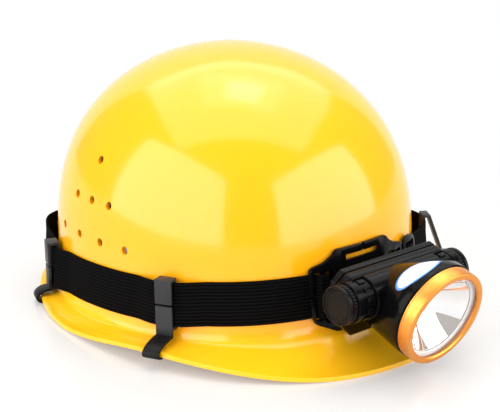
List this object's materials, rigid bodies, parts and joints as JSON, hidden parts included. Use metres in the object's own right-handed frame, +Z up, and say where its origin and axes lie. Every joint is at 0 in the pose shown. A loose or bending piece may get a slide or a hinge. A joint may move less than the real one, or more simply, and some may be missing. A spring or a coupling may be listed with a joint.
{
  "type": "miner's cap lamp on a hard hat",
  "caption": "Hard hat with a strap-on tilting head lamp: a turned bezel, clear lens and bright reflector in a black case with a cross barrel, held by an elastic strap and brim clips.",
  "frame": {"origin": "middle of the object's footprint on the floor it stands on", "axes": "+Z up, -Y the way the lamp looks, +X towards the wearer's left"},
  "size_m": [0.236, 0.2969, 0.152],
  "materials": {
    "yellow_shell": "glossy moulded plastic",
    "black_plastic": "satin moulded plastic",
    "grey_plastic": "satin moulded plastic",
    "harness_plastic": "matte moulded plastic",
    "webbing": "ribbed elastic webbing",
    "foam": "soft foam",
    "steel": "plated steel",
    "brass": "bare brass",
    "gold_bezel": "copper-gold anodised",
    "chrome": "bright metallised",
    "clear_lens": "clear",
    "white_rubber": "matte",
    "aluminium": "machined",
    "board_green": "solder mask",
    "board_white": "solder mask",
    "phosphor": "silicone dome over phosphor",
    "cell_wrap": "shrink wrap"
  },
  "bodies": {
    "helmet": {"helmet_shell": "yellow_shell", "headband": "harness_plastic", "nape_band": "harness_plastic", "sweatband": "foam", "size_stud_left": "harness_plastic", "size_stud_right": "harness_plastic", "harness_key_front_left": "harness_plastic", "harness_key_front_right": "harness_plastic", "harness_key_rear_left": "harness_plastic", "harness_key_rear_right": "harness_plastic", "crown_strap_upper": "webbing", "crown_strap_lower": "webbing", "head_strap": "webbing", "strap_slider": "black_plastic", "clip_front_left": "grey_plastic", "clip_front_right": "grey_plastic", "clip_rear_left": "grey_plastic", "clip_rear_right": "grey_plastic", "mount_plate": "black_plastic", "plate_pad": "foam", "hinge_pin": "steel"},
    "lamp": {"rear_cover": "black_plastic", "front_case": "black_plastic", "case_screw_top_left": "steel", "case_screw_top_right": "steel", "case_screw_low_left": "steel", "case_screw_low_right": "steel", "bezel_ring": "gold_bezel", "lens": "clear_lens", "lens_gasket": "white_rubber", "reflector": "chrome", "led_emitter": "phosphor", "led_board": "board_white", "heat_sink": "aluminium", "driver_board": "board_green", "battery_cell": "cell_wrap", "battery_terminal": "brass", "contact_spring": "steel", "switch_body": "grey_plastic", "battery_cap": "black_plastic"},
    "knob": {"switch_knob": "black_plastic"}
  },
  "joints": [
    {"name": "lamp_tilt", "type": "hinge", "parent": "helmet", "child": "lamp", "pos_m": [0, -0.08876, 0.02086], "axis": [1, 0, 0], "range_deg": [-17, 8]},
    {"name": "knob_turn", "type": "hinge", "parent": "lamp", "child": "knob", "pos_m": [-0.0403, -0.10586, 0.04216], "axis": [-1, 0, 0], "range_deg": [0, 270]}
  ]
}
